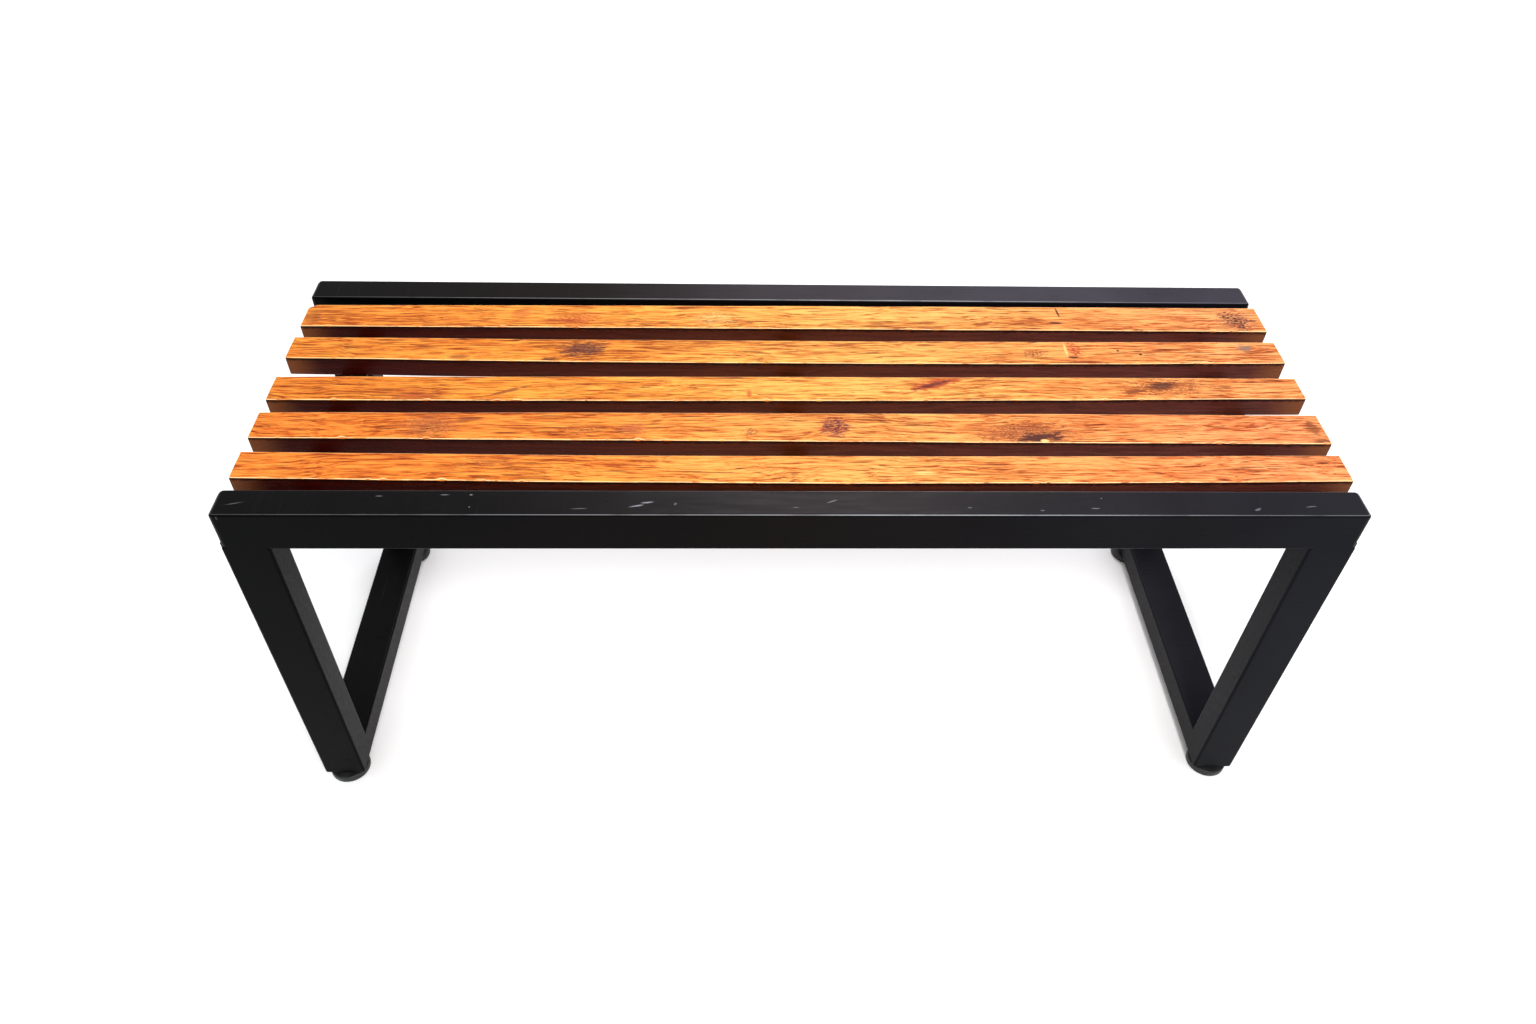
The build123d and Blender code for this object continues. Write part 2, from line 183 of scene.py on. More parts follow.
# Wood noise, in cycles per metre along the slat, across it and through it
GRAIN_DRIFT = (4.0, 14.0, 14.0)
GRAIN_DRIFT_REACH = 0.030
GRAIN_WAVES = (20.0, 55.0, 55.0)
GRAIN_WAVES_REACH = 0.0035
FIBRES = (30.0, 680.0, 680.0)
STREAKS = (11.0, 250.0, 250.0)
FIGURE = (3.4, 40.0, 40.0)
CLOUDS = (9.0, 26.0, 26.0)
STROKES = (22.0, 640.0, 640.0)
STROKE_PATCHES = (11.0, 30.0, 30.0)
SPECKLES = (230.0, 520.0, 300.0)
SWIRLS = (40.0, 90.0, 40.0)
RAGGED_EDGES = (90.0, 380.0, 90.0)
RING_WANDER = (30.0, 60.0, 60.0)
RINGS_PER_METRE = 420.0
PORES = (60.0, 1400.0, 1400.0)
PITH_PLACE = (0.0, 0.031, 0.047)
# Ragged edge of the painted shadow at the top of the slats' side faces
SIDE_SHADOW_RAGGEDNESS = 160.0
# Patches of the painted highlight along the slats' top edges
ARRIS_HIGHLIGHT_PATCHES = 55.0
WOOD_SPECULAR = 0.07
WOOD_RELIEF = 0.0007
MARK_RAGGED = 1.2
DASH_RAGGED = 0.15

# Share of each noise in the grain, and the colours from its lowest to its highest values
FIBRE_SHARE = 0.55
STREAK_SHARE = 0.28
FIGURE_SHARE = 0.15
CLOUD_SHARE = 0.14
GRAIN_COLOURS = [(0.440, DARK_WOOD), (0.500, DEEP_WOOD), (0.550, MIDDLE_WOOD), (0.615, LIGHT_WOOD)]

# Powder coat: colours, and noise in cycles per metre
COAT_DARK = (0.62, 0.62, 0.66)
COAT_LIGHT = (1.0, 0.98, 1.0)
COAT_DUST = (0.026, 0.026, 0.030)
# Painted highlight on the rails' upper arrises
COAT_HIGHLIGHT = (0.34, 0.35, 0.37)
COAT_SCUFF = (0.22, 0.22, 0.25)
COAT_CLOUDS = 6.0
DUST_GRAINS = 420.0
HAIRLINES = (650.0, 9.0, 650.0)
# Patches of the painted highlight on the rails' upper arrises
COAT_HIGHLIGHT_PATCHES = 26.0
WIPE_MARKS = (22.0, 160.0, 160.0)
ORANGE_PEEL = 700.0
COAT_SPECULAR = 0.034
SCUFF_RAGGED = 0.5

# Zinc plate, nylon, rubber and floor: colours, and noise in cycles per metre
ZINC_DARK = (0.36, 0.36, 0.34)
ZINC_LIGHT = (0.62, 0.61, 0.57)
ZINC_SPANGLE = 260.0
ZINC_TURNING = (300.0, 300.0, 4000.0)
MOULDED_CLOUDS = 140.0
NYLON_GRAIN = 1500.0
NYLON_DARK = (0.006, 0.006, 0.006)
NYLON_LIGHT = (0.014, 0.014, 0.015)
NYLON_ROUGHNESS = 0.5
RUBBER_GRAIN = 900.0
RUBBER_DARK = (0.006, 0.006, 0.006)
RUBBER_LIGHT = (0.022, 0.021, 0.020)
RUBBER_ROUGHNESS = 0.8
FLOOR_CLOUDS = 1.5
FLOOR_DARK = (0.93, 0.93, 0.93)
FLOOR_LIGHT = (0.95, 0.95, 0.95)


# ---------------------------------------------------------------------------------------------- meshes

def new_piece(name, vertices, faces):
    """A mesh object from its vertices and faces, smooth except across sharp edges."""
    mesh = bpy.data.meshes.new(name)
    mesh.from_pydata(vertices, [], faces)
    mesh.validate()
    mesh.update()
    mesh.shade_smooth()
    mesh.set_sharp_from_angle(angle=SMOOTH_ANGLE)
    piece = bpy.data.objects.new(name, mesh)
    bpy.context.scene.collection.objects.link(piece)
    return piece


def loft(rings):
    """Vertices and faces of a closed skin through rings of equal length, with flat caps."""
    count = len(rings[0])
    vertices = [point for ring in rings for point in ring]
    faces = [tuple(reversed(range(count)))]
    for index in range(len(rings) - 1):
        start = index * count
        for corner in range(count):
            following = (corner + 1) % count
            faces.append((start + corner, start + following,
                          start + count + following, start + count + corner))
    last = (len(rings) - 1) * count
    faces.append(tuple(range(last, last + count)))
    return vertices, faces


def wave(x, seed, length):
    """A smooth random value from -1 to 1 along the bench, which changes over about that length."""
    return noise.noise(Vector((x / length, seed * 7.31, 3.7)))


# ---------------------------------------------------------------------------------------------- slats

def slat_section(half_width, half_thick):
    """A slat's section with eased edges, as (across, up) from its middle, from the lower front corner."""
    points = []
    radius = SLAT_ARRIS
    corners = [(-1, -1, 180, SLAT_TOP_STEPS), (1, -1, 270, SLAT_SIDE_STEPS),
               (1, 1, 0, SLAT_TOP_STEPS), (-1, 1, 90, SLAT_SIDE_STEPS)]
    for index, (across, up, first_angle, steps) in enumerate(corners):
        centre = (across * (half_width - radius), up * (half_thick - radius))
        for step in range(SLAT_ARRIS_STEPS + 1):
            angle = math.radians(first_angle + 90 * step / SLAT_ARRIS_STEPS)
            points.append((centre[0] + radius * math.cos(angle), centre[1] + radius * math.sin(angle)))
        next_across, next_up, next_angle, _ = corners[(index + 1) % 4]
        next_start = (next_across * (half_width - radius) + radius * math.cos(math.radians(next_angle)),
                      next_up * (half_thick - radius) + radius * math.sin(math.radians(next_angle)))
        here = points[-1]
        for step in range(1, steps):
            share = step / steps
            points.append((here[0] + (next_start[0] - here[0]) * share,
                           here[1] + (next_start[1] - here[1]) * share))
    return points


def slat_chips(seed, low_x, high_x):
    """Places, half lengths and depths of the chips along a slat's upper front edge."""
    draw = random.Random(seed)
    chips = []
    for _ in range(CHIPS_PER_SLAT):
        place = draw.uniform(low_x, high_x)
        half_length = draw.uniform(*CHIP_LENGTH) / 2
        chips.append((place, half_length, draw.uniform(*CHIP_DEPTH)))
    return chips


def chip_depth(x, chips):
    """How deep the upper front edge is chipped at x."""
    deepest = 0.0
    for place, half_length, depth in chips:
        reach = abs(x - place) / half_length
        if reach < 1:
            deepest = max(deepest, depth * (1 - reach * reach))
    return deepest


def slat_edges(name):
    """The front and the rear edge of a slat's CAD solid, each as its xs and ys from left to right."""
    low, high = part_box(name)
    middle = (low.y + high.y) / 2
    almost = 0.9 * SLAT_CAD_ROUND
    side = sorted({(v.co.x, v.co.y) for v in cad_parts[name].data.vertices
                   if almost < v.co.z - low.z < 2 * SLAT_CAD_ROUND
                   and low.x + almost < v.co.x < high.x - almost})
    front = [(x, y) for x, y in side if y < middle]
    rear = [(x, y) for x, y in side if y > middle]
    return tuple(zip(*front)), tuple(zip(*rear))


def slat_stations(low_x, high_x):
    """Places along a slat, and how far the section is drawn in there by the rounded ends."""
    ends = []
    for step in range(SLAT_END_STEPS):
        angle = math.radians(90 * step / SLAT_END_STEPS)
        ends.append((SLAT_END_ROUND * (1 - math.cos(angle)), SLAT_END_ROUND * (1 - math.sin(angle))))
    first = low_x + SLAT_END_ROUND
    length = high_x - low_x - 2 * SLAT_END_ROUND
    count = round(length / SLAT_STEP)
    stations = [(low_x + place, inset) for place, inset in ends]
    stations += [(first + length * step / count, 0.0) for step in range(count + 1)]
    stations += [(high_x - place, inset) for place, inset in reversed(ends)]
    return stations


def slat(name, seed):
    """A sawn board with the CAD slat's bow, and eased, uneven and chipped edges.

    One slat has lost the rear corner of its left end.
    """
    low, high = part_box(name)
    front_edge, rear_edge = slat_edges(name)
    middle_z = (low.z + high.z) / 2
    half_thick = (high.z - low.z) / 2
    half_width = float(np.interp(0, *rear_edge) - np.interp(0, *front_edge)) / 2
    section = slat_section(half_width, half_thick)
    chips = slat_chips(seed, low.x, high.x)
    rings = []
    for x, inset in slat_stations(low.x, high.x):
        front = float(np.interp(x, *front_edge)) + EDGE_WAVE * wave(x, seed, 0.09)
        rear = float(np.interp(x, *rear_edge)) - EDGE_WAVE * wave(x, seed + 50, 0.12)
        if name == CLIPPED_SLAT:
            rear -= CLIP_WIDTH * max(0.0, 1 - (x - low.x) / CLIP_LENGTH)
        middle_y = (front + rear) / 2
        ragged = EDGE_RAGGED * (0.5 + 0.5 * wave(x, seed + 20, 0.005)) + chip_depth(x, chips)
        stretch = (rear - front) / (2 * half_width)
        ring = []
        for across, up in section:
            y = middle_y + across * stretch * (1 - inset / half_width)
            z = middle_z + up * (1 - inset / half_thick)
            near_front = max(0.0, 1 - (half_width + across) / CHIP_REACH)
            near_top = max(0.0, 1 - (half_thick - up) / CHIP_REACH)
            y += ragged * near_front * near_top
            z -= ragged * near_front * near_top
            if up > 0:
                z -= TOP_WAVE * (0.5 + 0.5 * noise.noise(Vector((x * 18, y * 90, seed * 5.3))))
            ring.append((x, y, z))
        rings.append(ring)
    vertices, faces = loft(rings)
    return new_piece(name + "_board", vertices, faces)


# ---------------------------------------------------------------------------------------------- welds

def weld_bead(start, along, run, side_a, side_b, leg=BEAD_LEG):
    """Rings of a rippled fillet weld in the corner between directions a and b."""
    outward = (side_a + side_b).normalized()
    count = max(2, round(run / BEAD_STEP))
    rings = []
    for index in range(count + 1):
        place = run * index / count
        from_end = min(place, run - place)
        size = leg * (BEAD_END_SIZE + (1 - BEAD_END_SIZE) * math.sqrt(min(1.0, from_end / BEAD_TAPER)))
        root = start + along * place
        ring = [root]
        for step in range(BEAD_ARC_STEPS + 1):
            share = step / BEAD_ARC_STEPS
            crown = math.sin(math.pi * share)
            ripple = abs(math.sin(math.pi * (place / BEAD_RIPPLE_PITCH - BEAD_RIPPLE_LAG * crown)))
            lift = crown * (BEAD_BULGE + BEAD_RIPPLE_HEIGHT * (ripple - 1))
            ring.append(root + side_a * size * (1 - share) + side_b * size * share + outward * lift)
        rings.append([tuple(point) for point in ring])
    return rings


def joined_piece(name, skins):
    """One piece from several closed skins, each (vertices, faces), with every face turned outwards."""
    vertices = []
    faces = []
    for skin_vertices, skin_faces in skins:
        offset = len(vertices)
        vertices += skin_vertices
        faces += [tuple(offset + corner for corner in face) for face in skin_faces]
    piece = new_piece(name, vertices, faces)
    work = bmesh.new()
    work.from_mesh(piece.data)
    bmesh.ops.recalc_face_normals(work, faces=work.faces)
    work.to_mesh(piece.data)
    work.free()
    return piece


def leg_rail_beads():
    """Beads in the inner corners between the legs and the rails' undersides."""
    beads = []
    for side_name in SIDES:
        for end_name, end in ENDS.items():
            low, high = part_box(f"{side_name}_{end_name}_leg")
            inner_x = low.x if end > 0 else high.x
            start = Vector((inner_x, low.y + BEAD_MARGIN, high.z))
            run = high.y - low.y - 2 * BEAD_MARGIN
            beads.append(weld_bead(start, Vector((0, 1, 0)), run,
                                   Vector((-end, 0, 0)), Vector((0, 0, -1))))
    return beads


def beam_leg_beads():
    """Beads in the corners between the floor beams' upper faces and the legs."""
    beads = []
    for end_name in ENDS:
        low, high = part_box(f"{end_name}_floor_beam")
        run = high.x - low.x - 2 * BEAD_MARGIN
        for edge_y, inwards in ((low.y, 1), (high.y, -1)):
            start = Vector((low.x + BEAD_MARGIN, edge_y, high.z))
            beads.append(weld_bead(start, Vector((1, 0, 0)), run,
                                   Vector((0, inwards, 0)), Vector((0, 0, 1))))
    return beads


def bearer_beads():
    """Beads under the flanges of the slat bearers, at both rails, beside the web."""
    beads = []
    for name in BEARERS:
        low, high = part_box(name)
        first_x = (low.x + high.x + 2 * BEARER_THICK - BEARER_BEAD_LENGTH) / 2
        for edge_y, inwards in ((low.y, 1), (high.y, -1)):
            start = Vector((first_x, edge_y, high.z - BEARER_THICK))
            beads.append(weld_bead(start, Vector((1, 0, 0)), BEARER_BEAD_LENGTH,
                                   Vector((0, inwards, 0)), Vector((0, 0, -1)), BEARER_BEAD_LEG))
    return beads


# ---------------------------------------------------------------------------------------------- screws

def turned_skin(profile):
    """A closed skin turned about Z from its profile, (radius, height) from one end to the other."""
    rings = []
    for radius, height in profile:
        turns = [2 * math.pi * side / SCREW_SIDES for side in range(SCREW_SIDES)]
        rings.append([(radius * math.cos(turn), radius * math.sin(turn), height) for turn in turns])
    return loft(rings)


def cross_recess_cutter():
    """A cross-shaped prism, a little below and above the depth of a screw's recess."""
    long = RECESS_HALF_LENGTH
    thin = RECESS_HALF_WIDTH
    outline = [(long, -thin), (long, thin), (thin, thin), (thin, long),
               (-thin, long), (-thin, thin), (-long, thin), (-long, -thin),
               (-thin, -thin), (-thin, -long), (thin, -long), (thin, -thin)]
    return loft([[(x, y, z) for x, y in outline] for z in (-RECESS_DEPTH, RECESS_DEPTH)])


def screw_skin(shank_length):
    """A pan-head screw with its washer, head down, with the head's lowest point at the origin."""
    crown = []
    for angle in SCREW_CROWN_ANGLES:
        turn = math.radians(angle)
        crown.append((SCREW_HEAD_RADIUS * math.sin(turn), SCREW_HEAD_HEIGHT * (1 - math.cos(turn))))
    seat = SCREW_HEAD_HEIGHT
    top = seat + WASHER_THICK
    profile = [(SCREW_HEAD_RADIUS * 0.1, 0.0)] + crown
    profile += [(WASHER_RADIUS - WASHER_EDGE, seat), (WASHER_RADIUS, seat + WASHER_EDGE),
                (WASHER_RADIUS, top - WASHER_EDGE), (WASHER_RADIUS - WASHER_EDGE, top)]
    profile += [(SCREW_SHANK_RADIUS, top), (SCREW_SHANK_RADIUS, shank_length - SCREW_SHANK_RADIUS),
                (SCREW_SHANK_RADIUS * 0.2, shank_length)]
    screw = joined_piece("screw_blank", [turned_skin(profile)])
    cutter = joined_piece("recess_cutter", [cross_recess_cutter()])
    cut = screw.modifiers.new("recess", "BOOLEAN")
    cut.operation = "DIFFERENCE"
    cut.object = cutter
    bpy.context.view_layer.update()
    mesh = bpy.data.meshes.new_from_object(screw.evaluated_get(bpy.context.evaluated_depsgraph_get()))
    vertices = [tuple(vertex.co) for vertex in mesh.vertices]
    faces = [tuple(face.vertices) for face in mesh.polygons]
    bpy.data.objects.remove(screw)
    bpy.data.objects.remove(cutter)
    bpy.data.meshes.remove(mesh)
    return vertices, faces


def slat_screws():
    """A screw at each crossing of a slat and a bearer."""
    low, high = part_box("slat_screws")
    vertices, faces = screw_skin(high.z - low.z)
    skins = []
    for bearer in BEARERS:
        bearer_low, bearer_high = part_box(bearer)
        x = (bearer_low.x + bearer_high.x) / 2
        for name in SLATS:
            front_edge, rear_edge = slat_edges(name)
            y = float(np.interp(x, *front_edge) + np.interp(x, *rear_edge)) / 2
            skins.append(([(x + dx, y + dy, low.z + dz) for dx, dy, dz in vertices], faces))
    return joined_piece("slat_screw_set", skins)


# ---------------------------------------------------------------------------------------------- materials

def new_material(name):
    """A material with an empty principled shader: (material, its tree, the shader)."""
    material = bpy.data.materials.new(name)
    material.use_nodes = True
    tree = material.node_tree
    tree.nodes.clear()
    output = tree.nodes.new("ShaderNodeOutputMaterial")
    shader = tree.nodes.new("ShaderNodeBsdfPrincipled")
    tree.links.new(shader.outputs["BSDF"], output.inputs["Surface"])
    return material, tree, shader


def plug(tree, value, socket):
    """Sets a socket: links another node's output to it, or stores a plain value."""
    if isinstance(value, bpy.types.NodeSocket):
        tree.links.new(value, socket)
    else:
        socket.default_value = value


def object_place(tree):
    """The point on the surface, in the row's frame."""
    return tree.nodes.new("ShaderNodeTexCoord").outputs["Object"]


def surface_normal(tree):
    """The direction that the surface faces."""
    return tree.nodes.new("ShaderNodeNewGeometry").outputs["Normal"]


def coordinate(tree, vector, axis):
    """One coordinate, X, Y or Z, of a vector."""
    separate = tree.nodes.new("ShaderNodeSeparateXYZ")
    plug(tree, vector, separate.inputs["Vector"])
    return separate.outputs[axis]


def scaled(tree, vector, scale):
    """A vector stretched by scale: one number, or one for each of X, Y and Z."""
    node = tree.nodes.new("ShaderNodeVectorMath")
    node.operation = "MULTIPLY"
    plug(tree, vector, node.inputs[0])
    node.inputs[1].default_value = scale if isinstance(scale, tuple) else (scale, scale, scale)
    return node.outputs["Vector"]


def added(tree, first, second):
    """The sum of two vectors."""
    node = tree.nodes.new("ShaderNodeVectorMath")
    node.operation = "ADD"
    plug(tree, first, node.inputs[0])
    plug(tree, second, node.inputs[1])
    return node.outputs["Vector"]


def vector_length(tree, vector):
    """The length of a vector."""
    node = tree.nodes.new("ShaderNodeVectorMath")
    node.operation = "LENGTH"
    plug(tree, vector, node.inputs[0])
    return node.outputs["Value"]


def math_node(tree, operation, first, second=0.0, third=0.0):
    """A number worked out from one to three others."""
    node = tree.nodes.new("ShaderNodeMath")
    node.operation = operation
    plug(tree, first, node.inputs[0])
    plug(tree, second, node.inputs[1])
    plug(tree, third, node.inputs[2])
    return node.outputs["Value"]


def noise_value(tree, place, scale, detail=3.0, roughness=0.55):
    """Fractal noise from 0 to 1, with scale as its cycles per metre."""
    node = tree.nodes.new("ShaderNodeTexNoise")
    plug(tree, scaled(tree, place, scale), node.inputs["Vector"])
    node.inputs["Scale"].default_value = 1.0
    node.inputs["Detail"].default_value = detail
    node.inputs["Roughness"].default_value = roughness
    return node.outputs["Fac"]


def step_between(tree, value, low, high, to_low=0.0, to_high=1.0):
    """A smooth step of value between low and high."""
    node = tree.nodes.new("ShaderNodeMapRange")
    node.interpolation_type = "SMOOTHSTEP"
    plug(tree, value, node.inputs["Value"])
    node.inputs["From Min"].default_value = low
    node.inputs["From Max"].default_value = high
    node.inputs["To Min"].default_value = to_low
    node.inputs["To Max"].default_value = to_high
    return node.outputs["Result"]


def blended(tree, share, first, second, kind="MIX"):
    """The first colour mixed with the second."""
    node = tree.nodes.new("ShaderNodeMix")
    node.data_type = "RGBA"
    node.blend_type = kind
    plug(tree, share, node.inputs["Factor"])
    for value, index in ((first, 6), (second, 7)):
        if isinstance(value, tuple):
            value = (*value, 1.0)
        plug(tree, value, node.inputs[index])
    return node.outputs[2]


def ramp(tree, value, stops):
    """A colour ramp: stops are (place, colour)."""
    node = tree.nodes.new("ShaderNodeValToRGB")
    plug(tree, value, node.inputs["Fac"])
    elements = node.color_ramp.elements
    while len(elements) < len(stops):
        elements.new(0.5)
    for element, (place, colour) in zip(elements, stops):
        element.position = place
        element.color = (*colour, 1.0)
    return node.outputs["Color"]


def bumped(tree, height, distance, strength):
    """A bump of a height from 0 to 1, distance metres deep."""
    node = tree.nodes.new("ShaderNodeBump")
    node.inputs["Strength"].default_value = strength
    node.inputs["Distance"].default_value = distance
    plug(tree, height, node.inputs["Height"])
    return node.outputs["Normal"]


def spot(tree, place, centre, half_size, tilt, ragged):
    """How far a point is from an ellipse's middle, in ellipse radii, with ragged edges."""
    node = tree.nodes.new("ShaderNodeMapping")
    node.vector_type = "TEXTURE"
    plug(tree, place, node.inputs["Vector"])
    node.inputs["Location"].default_value = (*centre, 0.0)
    node.inputs["Rotation"].default_value = (0.0, 0.0, math.radians(tilt))
    node.inputs["Scale"].default_value = (*half_size, 100.0)
    edge = noise_value(tree, place, RAGGED_EDGES)
    wander = math_node(tree, "MULTIPLY_ADD", edge, 2 * ragged, -ragged)
    return math_node(tree, "ADD", vector_length(tree, node.outputs["Vector"]), wander)


def grain_coordinates(tree, place, seed):
    """Places in the wood: bent by the slow drift of the grain and by its short interlocked waves."""
    shifted = added(tree, place, (seed * 3.17, seed * 1.91, seed * 0.73))
    drift = noise_value(tree, shifted, GRAIN_DRIFT, detail=2.0)
    waves = noise_value(tree, shifted, GRAIN_WAVES, detail=2.0)
    across = math_node(tree, "MULTIPLY_ADD", drift, GRAIN_DRIFT_REACH, -GRAIN_DRIFT_REACH / 2)
    across = math_node(tree, "MULTIPLY_ADD", waves, GRAIN_WAVES_REACH, across)
    bend = tree.nodes.new("ShaderNodeCombineXYZ")
    plug(tree, across, bend.inputs["Y"])
    plug(tree, across, bend.inputs["Z"])
    return shifted, added(tree, shifted, bend.outputs["Vector"])


def tint_along(tree, place, stops):
    """A colour that changes along the bench: stops are (share of the length from the left, colour)."""
    share = math_node(tree, "MULTIPLY_ADD", coordinate(tree, place, "X"), 0.5 / BENCH_HALF_LENGTH, 0.5)
    return ramp(tree, share, stops)


def add_mark(tree, place, colour, mark):
    """The colour with one mark blended in: a stain, a speckled patch, a dash or a swirl of grain."""
    kind, centre, half_size, tilt, mark_colour, strength = mark
    ragged = DASH_RAGGED if kind == "dash" else MARK_RAGGED
    distance = spot(tree, place, centre, half_size, tilt, ragged)
    mask = step_between(tree, distance, 0.50, 1.15, 1.0, 0.0)
    if kind == "speckle":
        grit = noise_value(tree, place, SPECKLES, roughness=0.7)
        mask = math_node(tree, "MULTIPLY", mask, step_between(tree, grit, 0.42, 0.54))
    if kind == "swirl":
        wander = noise_value(tree, place, SWIRLS)
        turns = math_node(tree, "MULTIPLY_ADD", wander, 1.6, distance)
        turns = math_node(tree, "PINGPONG", math_node(tree, "MULTIPLY", turns, 2.6), 0.5)
        mask = math_node(tree, "MULTIPLY", mask, step_between(tree, turns, 0.12, 0.42))
    return blended(tree, math_node(tree, "MULTIPLY", mask, strength), colour, mark_colour)


def top_wood(tree, place, shifted, grain, slat_tint, marks):
    """The stained and oiled upper face: fibres, dark strokes, cloudy figure, then the slat's marks."""
    fibre = noise_value(tree, grain, FIBRES, detail=4.0, roughness=0.65)
    streak = noise_value(tree, grain, STREAKS, roughness=0.6)
    figure = noise_value(tree, grain, FIGURE)
    cloud = noise_value(tree, shifted, CLOUDS, detail=2.0)
    mixed = math_node(tree, "MULTIPLY", fibre, FIBRE_SHARE)
    mixed = math_node(tree, "MULTIPLY_ADD", streak, STREAK_SHARE, mixed)
    mixed = math_node(tree, "MULTIPLY_ADD", figure, FIGURE_SHARE, mixed)
    mixed = math_node(tree, "MULTIPLY_ADD", cloud, CLOUD_SHARE, mixed)
    colour = ramp(tree, mixed, GRAIN_COLOURS)
    colour = blended(tree, 1.0, colour, tint_along(tree, place, TOP_TINTS), "MULTIPLY")
    colour = blended(tree, 1.0, colour, slat_tint, "MULTIPLY")
    for mark in marks:
        colour = add_mark(tree, place, colour, mark)

    strokes = noise_value(tree, grain, STROKES, detail=2.0, roughness=0.5)
    patches = noise_value(tree, shifted, STROKE_PATCHES, detail=2.0)
    stroke_mask = math_node(tree, "MULTIPLY", step_between(tree, strokes, 0.56, 0.64),
                            step_between(tree, patches, 0.36, 0.62, 0.12, 0.70))
    colour = blended(tree, stroke_mask, colour, STROKE_WOOD)
    relief = math_node(tree, "MULTIPLY_ADD", streak, 0.6, fibre)
    relief = math_node(tree, "MULTIPLY_ADD", stroke_mask, -0.5, relief)
    return colour, relief, streak


def shaded_side_wood(tree, place, streak):
    """The dark front and rear faces are painted shade, darkest at the left end, with painted light near
    the ends and a painted shadow, nearly black, just under the arris.
    """
    shade = blended(tree, step_between(tree, streak, 0.34, 0.66), SIDE_STREAK, WHITE)
    # Painted shade: the side faces' dark colour, darker towards the left end
    colour = blended(tree, 1.0, tint_along(tree, place, SIDE_SHADE_TINTS), shade, "MULTIPLY")
    along = math_node(tree, "ABSOLUTE", coordinate(tree, place, "X"))
    # Painted light: the side faces lighter near the ends of the slats
    colour = blended(tree, step_between(tree, along, 0.550, 0.595, 0.0, 0.7), colour, SIDE_END_LIT)
    # Painted shadow, nearly black, along the top of the side faces just under the arris, with a ragged
    # edge
    ragged = noise_value(tree, place, SIDE_SHADOW_RAGGEDNESS)
    height = math_node(tree, "MULTIPLY_ADD", ragged, 0.006, coordinate(tree, place, "Z"))
    under = step_between(tree, height, SLAT_TOP_Z - 0.003, SLAT_TOP_Z + 0.0005, 0.0, 0.85)
    return blended(tree, under, colour, SIDE_SHADOW)


def end_wood(tree, shifted):
    """End grain: curved growth rings and fine open pores."""
    from_pith = scaled(tree, added(tree, shifted, PITH_PLACE), (0.0, 1.0, 1.0))
    wander = noise_value(tree, shifted, RING_WANDER, detail=2.0)
    radius = math_node(tree, "MULTIPLY_ADD", wander, 0.004, vector_length(tree, from_pith))
    rings = math_node(tree, "PINGPONG", math_node(tree, "MULTIPLY", radius, RINGS_PER_METRE), 0.5)
    pores = noise_value(tree, shifted, PORES, detail=2.0)
    share = math_node(tree, "MULTIPLY_ADD", rings, 0.9, pores)
    return blended(tree, step_between(tree, share, 0.40, 1.0), END_DARK, END_LIGHT)


def wood_material(name, seed, slat_tint, marks):
    """Stained hardwood: light streaked top, dark sides in painted shade, end grain, and a pale painted
    highlight along the top arrises.

    Each mark is (kind, (x, y), (half length, half width), tilt in degrees, colour, strength).
    """
    material, tree, shader = new_material(name)
    place = object_place(tree)
    shifted, grain = grain_coordinates(tree, place, seed)
    top_colour, relief, streak = top_wood(tree, place, shifted, grain, slat_tint, marks)
    up = coordinate(tree, surface_normal(tree), "Z")
    endwards = math_node(tree, "ABSOLUTE", coordinate(tree, surface_normal(tree), "X"))

    under_colour = blended(tree, 1.0, top_colour, UNDER_SHADE, "MULTIPLY")
    # Faces that point sideways take this painted shade instead of the top's colour
    shaded_side_colour = shaded_side_wood(tree, place, streak)
    colour = blended(tree, step_between(tree, up, -0.7, -0.4, 1.0, 0.0), shaded_side_colour, under_colour)
    colour = blended(tree, step_between(tree, endwards, 0.5, 0.8), colour, end_wood(tree, shifted))
    colour = blended(tree, step_between(tree, up, 0.35, 0.60), colour, top_colour)

    # Painted highlight: a pale band on the eased top edges, in patches
    highlight_patches = noise_value(tree, shifted, ARRIS_HIGHLIGHT_PATCHES)
    band = math_node(tree, "MULTIPLY", step_between(tree, up, 0.45, 0.62),
                     step_between(tree, up, 0.93, 0.985, 1.0, 0.0))
    at_top = step_between(tree, coordinate(tree, place, "Z"), SLAT_TOP_Z - 0.0010, SLAT_TOP_Z - 0.0006)
    band = math_node(tree, "MULTIPLY", band, at_top)
    painted_highlight = math_node(tree, "MULTIPLY", band, step_between(tree, highlight_patches, 0.34, 0.50, 0.25, 0.95))
    colour = blended(tree, painted_highlight, colour, ARRIS_HIGHLIGHT)
    plug(tree, colour, shader.inputs["Base Color"])
    plug(tree, step_between(tree, streak, 0.3, 0.7, 0.52, 0.38), shader.inputs["Roughness"])
    shader.inputs["Specular IOR Level"].default_value = WOOD_SPECULAR
    plug(tree, bumped(tree, relief, WOOD_RELIEF, 0.8), shader.inputs["Normal"])
    return material


